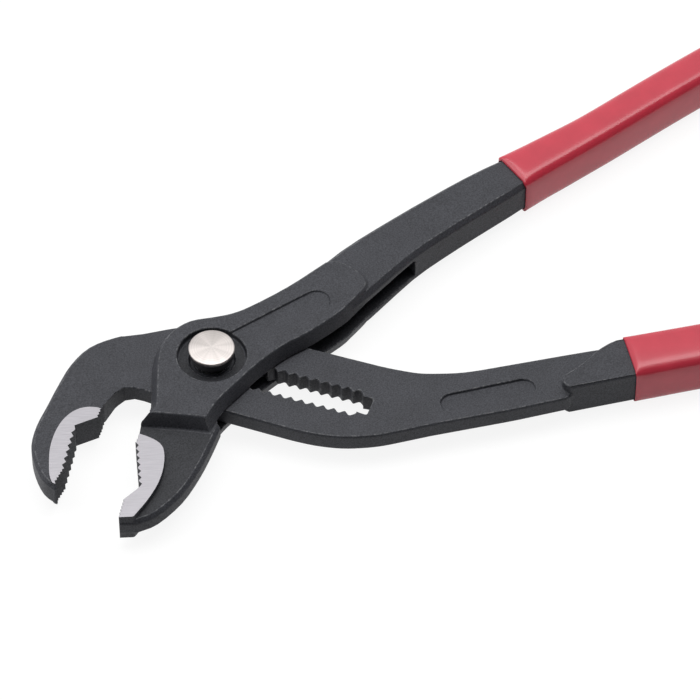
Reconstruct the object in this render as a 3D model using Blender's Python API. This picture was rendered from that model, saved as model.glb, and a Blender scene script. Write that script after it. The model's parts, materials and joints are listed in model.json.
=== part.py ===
"""Adjustable pliers of the box-joint kind with a push button, lying on their back.

Two forged arms cross at one bolt. The box arm carries the lower jaw and the upper handle, and its
joint is a box of two cheeks. The rack arm carries the hooked upper jaw and the lower handle, and its
flat plate runs through the box. The plate's slot is toothed on both sides, and a toothed block on the
bolt locks in it, until the sprung button is pressed.

World frame, in metres: the pivot axis is Z, X runs along the box arm towards the handles, and z = 0
is the face that the tool lies on. Each arm is drawn in its own frame, with the pivot at x = y = 0 and
its mid-plane at z = 0.
"""

import math

import bmesh
import bpy
from mathutils import Matrix, Vector

MM = 0.001

# Clearances and cutters
RUNNING_GAP = 0.25 * MM
SEAT_GAP = 0.15 * MM
PRESS_GAP = 0.05 * MM
OVERRUN = 3.0 * MM

# Joint stack, measured along the bolt
JOINT_THICKNESS = 11.0 * MM
PLATE_THICKNESS = 4.1 * MM
BOX_SLOT_HALF = PLATE_THICKNESS / 2 + RUNNING_GAP
WEB_THICKNESS = 0.8 * MM
STROKE = 1.8 * MM

# Box arm: cheeks. The outline is that of the flat face, as shares of these two, from the pivot.
CHEEK_LENGTH = 56.0 * MM
CHEEK_WIDTH = 23.0 * MM
CHEEK_SLOPE = 1.5 * MM
CHEEK_EDGE = 0.35 * MM
CHEEK_BACK_EDGE = 0.8 * MM
CHEEK_STRAIGHT_HALF = 2.3 * MM
CHEEK_SHARES = (
    ((0.66, -0.09), (0.635, -0.12), (0.60, -0.150), (0.555, -0.185), (0.50, -0.222), (0.36, -0.26),
     (0.24, -0.26), (0.115, -0.31), (0.0, -0.39), (-0.10, -0.465), (-0.18, -0.57)),
    ((-0.18, -0.57), (-0.22, -0.48), (-0.33, -0.255)),
    ((-0.33, -0.255), (-0.295, -0.21), (-0.235, 0.005), (-0.18, 0.20), (-0.12, 0.35), (-0.05, 0.425),
     (0.025, 0.432), (0.10, 0.36), (0.17, 0.30), (0.25, 0.275), (0.42, 0.28), (0.60, 0.33)),
    ((0.60, 0.33), (0.632, 0.295), (0.654, 0.22), (0.67, 0.11), (0.674, 0.03), (0.671, -0.04),
     (0.66, -0.09)),
)

# Box arm: handle. Its middle line is in shares of its reach and of its rise.
BOX_HANDLE_REACH = 204.0 * MM
BOX_HANDLE_RISE = 8.3 * MM
BOX_HANDLE_CHAMFER = 1.0 * MM
BOX_HANDLE_LINE_SHARES = (
    (0.083, 0.02), (0.15, 0.163), (0.177, 0.313), (0.194, 0.414), (0.208, 0.492), (0.229, 0.588),
    (0.255, 0.69), (0.304, 0.805), (0.355, 0.886), (0.412, 0.935), (0.50, 0.984), (0.56, 1.085),
    (0.62, 1.185), (0.70, 1.28), (0.79, 1.31), (0.87, 1.24), (0.94, 1.11), (1.0, 0.95),
)
BOX_HANDLE_WIDTH_SHARES = (
    (0.083, 1.18), (0.15, 1.372), (0.177, 1.372), (0.194, 1.351), (0.208, 1.322), (0.229, 1.264),
    (0.249, 1.202), (0.304, 1.145), (0.355, 1.10), (0.385, 1.048), (0.40, 0.99), (0.43, 0.92),
    (0.50, 0.84), (1.0, 0.82),
)
BOX_HANDLE_DEPTH_SHARES = ((0.083, 1.21), (0.19, 1.14), (0.26, 1.03), (0.40, 0.98), (1.0, 0.95))

# Both handles
TANG_WIDTH = 9.5 * MM
TANG_THICKNESS = 8.4 * MM
TANG_STATIONS = 40
GRIP_WALL = 0.5 * MM
GRIP_THICKNESS = JOINT_THICKNESS
GRIP_CORNER = 2.6 * MM
GRIP_CORNER_STEPS = 4
GRIP_END_STEPS = 5
GRIP_END = 4.5 * MM
# The skin thins towards its mouth: how far along, and which share of the drop below the full section
GRIP_MOUTH_STEPS = ((0.0, 1.0), (0.35 * MM, 0.45), (0.9 * MM, 0.14), (1.8 * MM, 0.0))
GRIP_MOUTH_SIDE_DROP = 0.3 * MM
GRIP_MOUTH_FACE_DROP = 0.85 * MM
GRIP_MOUTH_CORNER_DROP = 1.7 * MM
# The mouth starts later on the flats' middles than at the corners, as the dip climbs the edges.
GRIP_MOUTH_SCALLOP = 0.7 * MM
# How far the later start fades out, as a multiple of the thinned length
GRIP_MOUTH_FADE = 3.0
BOX_GRIP_START = 81.5 * MM
RACK_GRIP_START = 81.5 * MM

# Box arm: jaw. Outlines are shares of these two, from the pivot.
BOX_JAW_LENGTH = 38.0 * MM
BOX_JAW_DROP = 26.0 * MM
BOX_JAW_THICKNESS = 4.4 * MM
BOX_JAW_ROUNDING = 0.8 * MM
BOX_JAW_SHARES = (
    ((0.0, -0.36), (-0.158, -0.52), (-0.297, -0.675), (-0.445, -0.825), (-0.615, -0.957), (-0.80, -1.025),
     (-0.92, -1.005)),
    ((-0.92, -1.005), (-1.06, -0.88)),
    ((-1.06, -0.88), (-0.95, -0.66), (-0.70, -0.36), (-0.60, -0.20), (-0.42, -0.06)),
    ((-0.42, -0.06), (0.0, -0.36)),
)
BOX_LAND_SHARES = (
    ((-0.60, -0.305), (-0.567, -0.385), (-0.545, -0.475), (-0.557, -0.565), (-0.615, -0.69),
     (-0.70, -0.805), (-0.81, -0.90), (-0.93, -0.975)),
    ((-0.93, -0.975), (-1.06, -0.86)),
    ((-1.06, -0.86), (-0.96, -0.66), (-0.78, -0.36)),
    ((-0.78, -0.36), (-0.60, -0.305)),
)
BOX_MOUTH_SHARES = (
    (-0.615, -0.32), (-0.65, -0.36), (-0.798, -0.757), (-0.912, -0.79), (-0.992, -0.905), (-1.0, -0.93),
)
BOX_OPEN_SHARES = ((-1.3, -1.3), (-1.6, -0.4), (-0.9, 0.3), (-0.44, -0.05), (-0.46, -0.15), (-0.53, -0.175))

# Both jaws: ground lands with teeth
LAND_THICKNESS = 6.8 * MM
LAND_SLOPE = 0.45 * MM
TOOTH_PITCH = 1.68 * MM
TOOTH_DEPTH = 0.65 * MM
SERRATION_PITCH = 0.8 * MM
SERRATION_DEPTH = 0.3 * MM

# Rack arm: plate, with its outline in shares of its length to the thick handle and its slot's half width
RACK_ANGLE = math.radians(-52.9)
RACK_PLATE_LENGTH = 70.0 * MM
RACK_HALF_WIDTH = 10.8 * MM
PLATE_EDGE = 0.3 * MM
RACK_PLATE_SHARES = (
    ((-0.16, -0.98), (0.10, -0.995), (0.25, -1.005), (0.33, -1.0), (0.39, -0.965), (0.45, -0.885),
     (0.503, -0.76), (0.556, -0.595), (0.607, -0.385), (0.657, -0.165), (0.707, 0.047), (0.81, 0.46),
     (0.913, 0.885), (1.027, 1.385)),
    ((1.027, 1.385), (1.07, 1.80)),
    ((1.07, 1.80), (1.16, 2.70)),
    ((1.16, 2.70), (1.10, 2.88)),
    ((1.10, 2.88), (1.062, 2.765), (0.994, 2.505), (0.927, 2.239), (0.86, 1.97), (0.754, 1.55),
     (0.70, 1.365), (0.646, 1.225), (0.59, 1.11), (0.53, 1.06), (0.47, 1.035), (0.32, 1.02),
     (0.15, 1.0), (0.0, 0.93), (-0.15, 0.665)),
    ((-0.15, 0.665), (-0.16, -0.98)),
)

# Rack arm: toothed slot. Its notches stand at whole pitches from a phase ahead of the bolt.
RACK_PITCH = 2.34 * MM
RACK_PHASE = 0.7 * MM
RACK_NOTCHES_AHEAD = 13
RACK_NOTCHES_BEHIND = 2
RACK_TIP_WIDTH = 5.05 * MM
RACK_TOOTH_DEPTH = 1.02 * MM
RACK_SLOT_END = 2.25 * MM
RACK_END_WIDTH = 4.3 * MM

# Rack arm: marking pocket, left plain. It starts at shares of the plate's length and half width.
POCKET_START_SHARES = (0.72, 0.5926)
POCKET_LENGTH = 15.0 * MM
POCKET_RADIUS = 2.6 * MM
POCKET_DEPTH = 0.6 * MM
POCKET_TURN = math.radians(33.7)

# Rack arm: hooked jaw, outline in shares of its reach back from the pivot and its drop below it
RACK_JAW_REACH = 28.6 * MM
RACK_JAW_DROP = 41.0 * MM
RACK_JAW_INNER_RADIUS = 17.0 * MM
RACK_JAW_OUTER_RADIUS = 27.0 * MM
RACK_JAW_THICKNESS = 6.1 * MM
RACK_JAW_ROUNDING = 0.7 * MM
RACK_JAW_SHARES = (
    ((-0.20, 0.232), (-0.36, 0.18), (-0.56, 0.093), (-0.758, 0.003), (-0.90, -0.101), (-0.967, -0.235),
     (-0.985, -0.38), (-0.99, -0.52), (-0.995, -0.66), (-0.965, -0.785), (-0.882, -0.89), (-0.77, -0.975),
     (-0.66, -1.01)),
    ((-0.66, -1.01), (-0.50, -0.90), (-0.50, -0.50)),
    ((-0.50, -0.50), (-0.20, -0.18)),
    ((-0.20, -0.18), (-0.20, 0.225)),
)
RACK_LAND_SHARES = (
    ((-0.55, -0.478), (-0.63, -0.47), (-0.72, -0.49), (-0.785, -0.535), (-0.825, -0.605), (-0.835, -0.69),
     (-0.82, -0.78), (-0.785, -0.86), (-0.735, -0.945), (-0.69, -0.99)),
    ((-0.69, -0.99), (-0.55, -1.0)),
    ((-0.55, -1.0), (-0.50, -0.60), (-0.55, -0.478)),
)
RACK_MOUTH_SHARES = (
    (-0.67, -0.985), (-0.655, -0.888), (-0.707, -0.64), (-0.727, -0.615), (-0.595, -0.527), (-0.60, -0.43),
)
RACK_OPEN_SHARES = (
    (-0.575, -0.342), (-0.525, -0.285), (-0.46, -0.264), (-0.39, -0.262), (0.2, -0.30), (0.4, -0.8),
    (-0.3, -1.3),
)

# Rack arm: handle. Its middle line starts on the plate, and the nose stands there too, both in shares of
# the plate's length and half width. The line goes on in shares of the way from there to reach and rise.
RACK_HANDLE_REACH = 177.0 * MM
RACK_HANDLE_RISE = 100.0 * MM
RACK_HANDLE_CHAMFER = 0.35 * MM
RACK_HANDLE_START_SHARES = (1.0418, 2.1204)
RACK_HANDLE_LINE_SHARES = (
    (0, 0), (0.0833, 0.0702), (0.1633, 0.1378), (0.2602, 0.2198), (0.3759, 0.3212),
    (0.5, 0.4369), (0.6259, 0.5605), (0.75, 0.6918), (0.8759, 0.8375), (1, 1),
)
RACK_HANDLE_WIDTH_SHARES = ((0, 1.1), (0.1497, 1.06), (1, 0.94))
RACK_HANDLE_DEPTH_SHARES = ((0.0, 1.0), (1.0, 0.96))
NOSE_SHARES = (
    ((1.1786, 3.37), (1.1414, 3.10), (1.1171, 2.963), (1.0986, 2.856), (1.0821, 2.708), (1.0697, 2.575),
     (1.0484, 2.264), (1.0274, 2.006), (1.0124, 1.865), (1.0058, 1.775), (1.0052, 1.688),
     (1.0105, 1.608), (1.0216, 1.555), (1.0361, 1.537), (1.0466, 1.56), (1.0592, 1.595),
     (1.0786, 1.64)),
    ((1.0786, 1.64), (1.0786, 0.9)),
    ((1.0786, 0.9), (0.79, 0.9)),
    ((0.79, 0.9), (0.79, 4.2)),
    ((0.79, 4.2), (1.1786, 4.2)),
    ((1.1786, 4.2), (1.1786, 3.37)),
)
# The fillet at its front's foot: height above the plate and how far it stands out there. It sets in over
# a part of the plate's half width, away from the round corner.
NOSE_FILLET = ((1.1 * MM, 0.05 * MM), (0.6 * MM, 0.2 * MM), (0.25 * MM, 0.5 * MM), (0.0, 0.95 * MM))
NOSE_FILLET_SHARES = (1.56, 1.86)
NOSE_OVERRUN = 6.0 * MM

# Button well in the front cheek
RECESS_RADIUS = 7.2 * MM
RECESS_DEPTH = 1.6 * MM
GROOVE_LENGTH = 26.0 * MM
GROOVE_RADIUS = 2.85 * MM
GROOVE_DEPTH = 0.45 * MM
# How far the cutter's floor still lies under the face at its lower edge, as a share of the depth
GROOVE_FADE = 0.22

# Bolt
JOURNAL_RADIUS = 4.5 * MM
HEAD_RADIUS = 5.7 * MM
HEAD_THICKNESS = 1.2 * MM
NECK_RADIUS = 2.15 * MM
BLOCK_TEETH = 3
BOLT_SIDES = 48

# Button
CUP_RADIUS = 4.52 * MM
CUP_WALL = 0.5 * MM
CUP_CEILING = 0.45 * MM
CAP_RADIUS = 4.8 * MM
CAP_RIM = 0.55 * MM
CAP_CROWN = 0.35 * MM
CAP_STEPS = 6
CAP_ABOVE_CHEEK = 2.1 * MM
BUTTON_SIDES = 64

# Spring and its washer
WASHER_THICKNESS = 0.3 * MM
WIRE_DIAMETER = 0.4 * MM
SPRING_TURNS = 2.0
POINTS_A_TURN = 10

# Box slot: how far the plate may turn in it, each way from rest
OPENING_TURN = math.radians(20.0)
CLOSING_TURN = math.radians(22.0)
SLIT_END = 51.0 * MM
SLIT_TOP = 3.2 * MM
SLIT_SPINE_START = 19.0 * MM
ROOT_CLEARANCE = 0.5 * MM

# How finely curves are drawn
CURVE_STEPS = 3
ARC_STEPS = 16

# Levels that follow from the sizes above, from the mid-plane
FACE_Z = JOINT_THICKNESS / 2
RECESS_Z = FACE_Z - RECESS_DEPTH
WEB_TOP_Z = BOX_SLOT_HALF + WEB_THICKNESS
CAP_BOTTOM_Z = FACE_Z + CAP_ABOVE_CHEEK - CAP_RIM
CUP_TOP_Z = CAP_BOTTOM_Z - PRESS_GAP
CUP_CEILING_Z = CUP_TOP_Z - CUP_CEILING
CUP_BOTTOM_Z = WEB_TOP_Z + SEAT_GAP + STROKE
BLOCK_BOTTOM_Z = -PLATE_THICKNESS / 2 - SEAT_GAP
BLOCK_TOP_Z = STROKE - PLATE_THICKNESS / 2 - SEAT_GAP
HEAD_TOP_Z = HEAD_THICKNESS - FACE_Z
HEAD_SEAT_Z = HEAD_TOP_Z + SEAT_GAP
WASHER_BOTTOM_Z = WEB_TOP_Z + SEAT_GAP
WASHER_TOP_Z = WASHER_BOTTOM_Z + WASHER_THICKNESS
WELL_RADIUS = CUP_RADIUS + RUNNING_GAP


def clear_scene():
    for obj in list(bpy.data.objects):
        bpy.data.objects.remove(obj, do_unlink=True)


def linear(hex_colour):
    """The linear RGB of an sRGB hex colour."""
    channels = [int(hex_colour[i:i + 2], 16) / 255 for i in (1, 3, 5)]
    return [c / 12.92 if c <= 0.04045 else ((c + 0.055) / 1.055) ** 2.4 for c in channels]


def finish(name, hex_colour, roughness, metallic):
    material = bpy.data.materials.new(name)
    material.use_nodes = True
    shader = material.node_tree.nodes["Principled BSDF"]
    shader.inputs["Base Color"].default_value = (*linear(hex_colour), 1.0)
    shader.inputs["Roughness"].default_value = roughness
    shader.inputs["Metallic"].default_value = metallic
    return material


def curve_through(points):
    """Points along a smooth curve through the given ones, its last point left out."""
    found = []
    for i in range(len(points) - 1):
        here, there = Vector(points[i]), Vector(points[i + 1])
        if len(points) == 2:
            return [tuple(here)]
        before = Vector(points[i - 1]) if i else here * 2 - there
        after = Vector(points[i + 2]) if i + 2 < len(points) else there * 2 - here
        for step in range(CURVE_STEPS):
            t = step / CURVE_STEPS
            bend = (
                here * 2
                + (there - before) * t
                + (before * 2 - here * 5 + there * 4 - after) * t**2
                + (here * 3 - there * 3 + after - before) * t**3
            )
            found.append(tuple(bend / 2))
    return found


def outline_of(share_runs, length, width):
    """A closed outline from runs of shares. Each run is one smooth curve, and runs meet in corners."""
    points = []
    for run in share_runs:
        points += curve_through([(x * length, y * width) for x, y in run])
    return points


def signed_area(points):
    pairs = zip(points, points[1:] + points[:1])
    return sum(a[0] * b[1] - b[0] * a[1] for a, b in pairs) / 2


def grown(points, distance):
    """The outline moved outwards by a distance, point by point."""
    found = []
    for i, point in enumerate(points):
        here = Vector(point)
        back = (here - Vector(points[i - 1])).normalized()
        ahead = (Vector(points[(i + 1) % len(points)]) - here).normalized()
        normal = Vector((back.y + ahead.y, -back.x - ahead.x)).normalized()
        stretch = max(normal.dot(Vector((ahead.y, -ahead.x))), 0.5)
        found.append(tuple(here + normal * (distance / stretch)))
    return found


def mesh_object(name, mesh_builder):
    mesh = bpy.data.meshes.new(name)
    bm = bmesh.new()
    mesh_builder(bm)
    bmesh.ops.recalc_face_normals(bm, faces=bm.faces)
    bm.to_mesh(mesh)
    bm.free()
    obj = bpy.data.objects.new(name, mesh)
    bpy.context.scene.collection.objects.link(obj)
    return obj


def loft(name, rings):
    """A closed solid through rings of equally many points, capped at both ends."""

    def build(bm):
        made = [[bm.verts.new(point) for point in ring] for ring in rings]
        for low, high in zip(made, made[1:]):
            for i in range(len(low)):
                j = (i + 1) % len(low)
                bm.faces.new((low[i], low[j], high[j], high[i]))
        bm.faces.new(made[0][::-1])
        bm.faces.new(made[-1])

    return mesh_object(name, build)


def layered(name, points, levels):
    """A solid of one outline, grown by its own amount at each level."""
    if signed_area(points) < 0:
        points = points[::-1]
    return loft(name, [[(x, y, z) for x, y in grown(points, out)] for z, out in levels])


def prism(name, points, bottom, top):
    return layered(name, points, ((bottom, 0.0), (top, 0.0)))


def turned(name, profile, sides):
    """A solid turned about Z from a closed profile of radius and height."""

    def build(bm):
        rings = []
        for radius, z in profile:
            if radius == 0:
                rings.append([bm.verts.new((0, 0, z))])
                continue
            angles = [2 * math.pi * i / sides for i in range(sides)]
            rings.append([bm.verts.new((radius * math.cos(a), radius * math.sin(a), z)) for a in angles])
        hollow = all(radius > 0 for radius, _ in profile)
        pairs = list(zip(rings, rings[1:]))
        if hollow:
            pairs.append((rings[-1], rings[0]))
        for low, high in pairs:
            for i in range(sides):
                j = (i + 1) % sides
                corners = [low[i % len(low)], low[j % len(low)], high[j % len(high)], high[i % len(high)]]
                bm.faces.new(list(dict.fromkeys(corners)))

    return mesh_object(name, build)


def disc(name, radius, bottom, top, sides):
    return turned(name, ((0, bottom), (radius, bottom), (radius, top), (0, top)), sides)


def combine(target, operation, tool):
    """One Boolean, applied at once. The tool is used up."""
    modifier = target.modifiers.new(tool.name, "BOOLEAN")
    modifier.operation = operation
    modifier.solver = "EXACT"
    modifier.object = tool
    graph = bpy.context.evaluated_depsgraph_get()
    mesh = bpy.data.meshes.new_from_object(target.evaluated_get(graph))
    target.modifiers.clear()
    target.data = mesh
    bpy.data.objects.remove(tool, do_unlink=True)


def join(target, tool):
    combine(target, "UNION", tool)


def cut(target, tool):
    combine(target, "DIFFERENCE", tool)


def keep_inside(target, tool):
    combine(target, "INTERSECT", tool)


def read_share(table, at):
    """The value at a place, read along straight lines between a table's pairs."""
    for (x0, y0), (x1, y1) in zip(table, table[1:]):
        if at <= x1:
            return y0 + (y1 - y0) * (at - x0) / (x1 - x0)
    return table[-1][1]


def zigzag(start, end, pitch, depth):
    """Points from start to end with V notches of a given depth to the left of the run."""
    start, end = Vector(start), Vector(end)
    run = end - start
    count = max(1, round(run.length / pitch))
    side = Vector((-run.y, run.x)).normalized() * depth
    points = []
    for i in range(count):
        points.append(tuple(start + run * (i / count)))
        points.append(tuple(start + run * ((i + 0.5) / count) + side))
    return points


def smoothed(obj):
    obj.data.shade_smooth()
    obj.data.set_sharp_from_angle(angle=math.radians(28.0))


def place(obj, parent, material):
    obj.parent = parent
    obj.data.materials.clear()
    obj.data.materials.append(material)
    smoothed(obj)


def carrier(name, location, turn, parent=None):
    """An empty that places one arm or the bolt."""
    empty = bpy.data.objects.new(name, None)
    empty.location = location
    empty.rotation_euler.z = turn
    empty.parent = parent
    bpy.context.scene.collection.objects.link(empty)
    return empty


def section(half_width, half_depth, chamfer):
    """A chamfered rectangle, as points across and up."""
    w, d, c = half_width, half_depth, chamfer
    front = [(w, c - d), (w, d - c), (w - c, d), (c - w, d)]
    return front + [(-u, -v) for u, v in front]


def round_section(half_width, half_depth, radius):
    """A rectangle with round corners, as points across and up."""
    points = []
    for quarter in range(4):
        turn = math.pi / 2 * quarter
        x = (half_width - radius) * (1 if quarter in (0, 3) else -1)
        y = (half_depth - radius) * (1 if quarter in (0, 1) else -1)
        for step in range(GRIP_CORNER_STEPS):
            angle = turn + math.pi / 2 * step / (GRIP_CORNER_STEPS - 1)
            points.append((x + radius * math.cos(angle), y + radius * math.sin(angle)))
    return points


class Handle:
    """The middle line of a handle, with its width and depth along it."""

    def __init__(self, start, end, line_shares, chamfer, width_shares, depth_shares):
        self.start = Vector(start)
        self.span = Vector(end) - self.start
        self.chamfer = chamfer
        self.width_shares = width_shares
        self.depth_shares = depth_shares
        points = [tuple(self.start + self.span * Vector(share)) for share in line_shares]
        self.points = [Vector(p) for p in curve_through(points)] + [Vector(points[-1])]
        self.marks = [0.0]
        for a, b in zip(self.points, self.points[1:]):
            self.marks.append(self.marks[-1] + (b - a).length)
        self.length = self.marks[-1]

    def at(self, distance):
        """The point and the direction at a distance along the line, past its ends too."""
        last = len(self.marks) - 2
        i = next((k for k in range(last + 1) if distance <= self.marks[k + 1]), last)
        a, b = self.points[i], self.points[i + 1]
        along = (b - a).normalized()
        return a + along * (distance - self.marks[i]), along

    def distance_to(self, x):
        """How far along the line a given x lies."""
        for i, (a, b) in enumerate(zip(self.points, self.points[1:])):
            if x <= b.x:
                return self.marks[i] + (x - a.x) / (b.x - a.x) * (b - a).length
        return self.length

    def half_sizes(self, distance):
        share = (self.at(distance)[0].x - self.start.x) / self.span.x
        width = TANG_WIDTH / 2 * read_share(self.width_shares, share)
        depth = TANG_THICKNESS / 2 * read_share(self.depth_shares, share)
        return width, depth

    def ring(self, distance, outline, later=None):
        """An outline set square to the line at a distance along it, or with each point moved on by its own
        amount."""
        centre, along = self.at(distance)
        across = Vector((-along.y, along.x))
        later = later or [0.0] * len(outline)
        return [(*(centre + across * u + along * on), v) for (u, v), on in zip(outline, later)]

    def bar(self, name, start, end, extra=0.0):
        """The steel bar between two distances, or a bore round it when extra is a gap."""
        rings = []
        for i in range(TANG_STATIONS + 1):
            distance = start + (end - start) * i / TANG_STATIONS
            width, depth = self.half_sizes(distance)
            rings.append(self.ring(distance, section(width + extra, depth + extra, self.chamfer)))
        return loft(name, rings)

    def grip(self, name, start):
        """The dipped sleeve from a distance on, closed over the end of the bar."""
        end_steps = [math.pi / 2 * i / GRIP_END_STEPS for i in range(1, GRIP_END_STEPS)]
        mouth_end = GRIP_MOUTH_STEPS[-1][0]
        fade = GRIP_MOUTH_FADE * mouth_end
        places = [(out, drop) for out, drop in GRIP_MOUTH_STEPS]
        body = self.length - start - mouth_end
        places += [(mouth_end + body * i / TANG_STATIONS, 0.0) for i in range(1, TANG_STATIONS)]
        inside = round_section(*[half / 2 for half in self.half_sizes(start)], GRIP_CORNER / 2)
        rings = [self.ring(start, inside)]
        for out, drop in places:
            width = self.half_sizes(start + out)[0] + SEAT_GAP + GRIP_WALL - GRIP_MOUTH_SIDE_DROP * drop
            depth = GRIP_THICKNESS / 2 - GRIP_MOUTH_FACE_DROP * drop
            outline = round_section(width, depth, GRIP_CORNER - GRIP_MOUTH_CORNER_DROP * drop)
            scallop = GRIP_MOUTH_SCALLOP * max(1 - out / fade, 0.0)
            later = [scallop * (1 - min(abs(u) / width, abs(v) / depth) ** 2) for u, v in outline]
            rings.append(self.ring(start + out, outline, later))
        width = self.half_sizes(self.length)[0] + SEAT_GAP + GRIP_WALL
        for angle in [0.0] + end_steps:
            fall = GRIP_END * (1 - math.cos(angle))
            radius = max(GRIP_CORNER - fall / 2, GRIP_CORNER / 4)
            outline = round_section(width - fall, GRIP_THICKNESS / 2 - fall, radius)
            rings.append(self.ring(self.length + GRIP_END * math.sin(angle), outline))
        sleeve = loft(name, rings)
        cut(sleeve, self.bar(name + "_bore", start - OVERRUN, self.length + SEAT_GAP, SEAT_GAP))
        return sleeve


def teeth_cutter(name, runs, far_points):
    """A cutter for the mouth of a jaw: toothed runs along the jaw, then points in the open."""
    points = []
    for start, end, pitch, depth in runs:
        points += zigzag(start, end, pitch, depth) if depth else [start]
    points.append(runs[-1][1])
    half = LAND_THICKNESS / 2 + OVERRUN
    return prism(name, points + list(far_points), -half, half)


def scaled(shares, length, width):
    return [(x * length, y * width) for x, y in shares]


def box_slot_cutter():
    """The gap between the cheeks: a wedge-shaped root, and a slit that runs into the handle."""
    radius = RACK_HALF_WIDTH + ROOT_CLEARANCE
    down = RACK_ANGLE - math.pi / 2
    low, high = down - OPENING_TURN, down + CLOSING_TURN
    apex_radius = radius / math.cos((high - low) / 2)
    apex = Vector((math.cos((low + high) / 2), math.sin((low + high) / 2))) * apex_radius
    reach = CHEEK_LENGTH
    to_right = apex + Vector((-math.sin(low), math.cos(low))) * reach
    to_left = apex - Vector((-math.sin(high), math.cos(high))) * reach
    points = [
        tuple(to_left),
        tuple(apex),
        tuple(to_right),
        (SLIT_END, -reach),
        (SLIT_END, SLIT_TOP),
        (SLIT_SPINE_START, SLIT_TOP),
        (RECESS_RADIUS, CHEEK_WIDTH / 2),
        (-reach, reach / 2),
    ]
    return prism("box_slot", points, -BOX_SLOT_HALF, BOX_SLOT_HALF)


def groove_cutter(name, start, turn, length, radius, face, depth):
    """A round-ended pocket from a start point along a direction. Its floor rises across it, from its full
    depth under the upper edge to a share of it at the lower one."""
    points = []
    for end, facing in ((length, 0.0), (0.0, math.pi)):
        for i in range(ARC_STEPS + 1):
            angle = facing - math.pi / 2 + math.pi * i / ARC_STEPS
            points.append((end + radius * math.cos(angle), radius * math.sin(angle)))
    place_at = Matrix.Translation((*start, 0.0)) @ Matrix.Rotation(turn, 4, "Z")
    rise = (1 - GROOVE_FADE) * depth / (2 * radius)
    floor = [tuple(place_at @ Vector((x, y, face - depth + rise * (radius - y)))) for x, y in points]
    return loft(name, [floor, [(x, y, face + OVERRUN) for x, y, _ in floor]])


def front_bore_cutter():
    """The recess round the button, the spring's well under it and the hole for the bolt's neck."""
    neck, top = NECK_RADIUS + RUNNING_GAP, FACE_Z + OVERRUN
    profile = (
        (0, 0), (neck, 0), (neck, WEB_TOP_Z), (WELL_RADIUS, WEB_TOP_Z), (WELL_RADIUS, RECESS_Z),
        (RECESS_RADIUS, RECESS_Z), (RECESS_RADIUS, top), (0, top),
    )
    return turned("front_bore", profile, BUTTON_SIDES)


def back_bore_cutter():
    """The bolt's bearing in the back cheek, and the counterbore that stops its head."""
    journal, head, bottom = JOURNAL_RADIUS + RUNNING_GAP, HEAD_RADIUS + RUNNING_GAP, -FACE_Z - OVERRUN
    profile = (
        (0, bottom), (head, bottom), (head, HEAD_SEAT_Z), (journal, HEAD_SEAT_Z), (journal, 0), (0, 0),
    )
    return turned("back_bore", profile, BUTTON_SIDES)


def build_box_arm():
    straight = CHEEK_STRAIGHT_HALF
    levels = (
        (-FACE_Z, 0.0),
        (CHEEK_EDGE - FACE_Z, CHEEK_BACK_EDGE),
        (-straight, CHEEK_SLOPE),
        (straight, CHEEK_SLOPE),
        (FACE_Z - CHEEK_EDGE, CHEEK_EDGE),
        (FACE_Z, 0.0),
    )
    arm = layered("box_arm", outline_of(CHEEK_SHARES, CHEEK_LENGTH, CHEEK_WIDTH), levels)
    handle = box_handle()
    join(arm, handle.bar("box_bar", 0.0, handle.length))
    half = BOX_JAW_THICKNESS / 2
    edge = BOX_JAW_ROUNDING
    jaw_levels = ((-half, -edge), (edge - half, 0.0), (half - edge, 0.0), (half, -edge))
    outline = outline_of(BOX_JAW_SHARES, BOX_JAW_LENGTH, BOX_JAW_DROP)
    join(arm, layered("box_jaw", outline, jaw_levels))
    half = LAND_THICKNESS / 2
    land = outline_of(BOX_LAND_SHARES, BOX_JAW_LENGTH, BOX_JAW_DROP)
    join(arm, layered("box_land", land, ((-half, 0.0), (0.0, LAND_SLOPE), (half, 0.0))))
    cut(arm, box_mouth_cutter())
    cut(arm, box_slot_cutter())
    cut(arm, front_bore_cutter())
    cut(arm, back_bore_cutter())
    cut(arm, groove_cutter("groove", (0.0, 0.0), 0.0, GROOVE_LENGTH, GROOVE_RADIUS, FACE_Z, GROOVE_DEPTH))
    return arm


def on_plate(shares):
    """A point of the rack arm, from shares of its plate's length and half width."""
    return shares[0] * RACK_PLATE_LENGTH, shares[1] * RACK_HALF_WIDTH


def box_handle():
    return Handle(
        (0.0, 0.0), (BOX_HANDLE_REACH, BOX_HANDLE_RISE), BOX_HANDLE_LINE_SHARES, BOX_HANDLE_CHAMFER,
        BOX_HANDLE_WIDTH_SHARES, BOX_HANDLE_DEPTH_SHARES,
    )


def rack_handle():
    return Handle(
        on_plate(RACK_HANDLE_START_SHARES), (RACK_HANDLE_REACH, RACK_HANDLE_RISE), RACK_HANDLE_LINE_SHARES,
        RACK_HANDLE_CHAMFER, RACK_HANDLE_WIDTH_SHARES, RACK_HANDLE_DEPTH_SHARES,
    )


def box_mouth_cutter():
    """The mouth side of the box arm's jaw, from the root of the jaw to its tip."""
    root, upper, bend, lip, nib, tip = scaled(BOX_MOUTH_SHARES, BOX_JAW_LENGTH, BOX_JAW_DROP)
    runs = (
        (root, upper, SERRATION_PITCH, SERRATION_DEPTH),
        (upper, bend, TOOTH_PITCH, TOOTH_DEPTH),
        (bend, lip, TOOTH_PITCH, 0.0),
        (lip, nib, SERRATION_PITCH, SERRATION_DEPTH),
        (nib, tip, SERRATION_PITCH, 0.0),
    )
    return teeth_cutter("box_mouth", runs, scaled(BOX_OPEN_SHARES, BOX_JAW_LENGTH, BOX_JAW_DROP))


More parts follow.
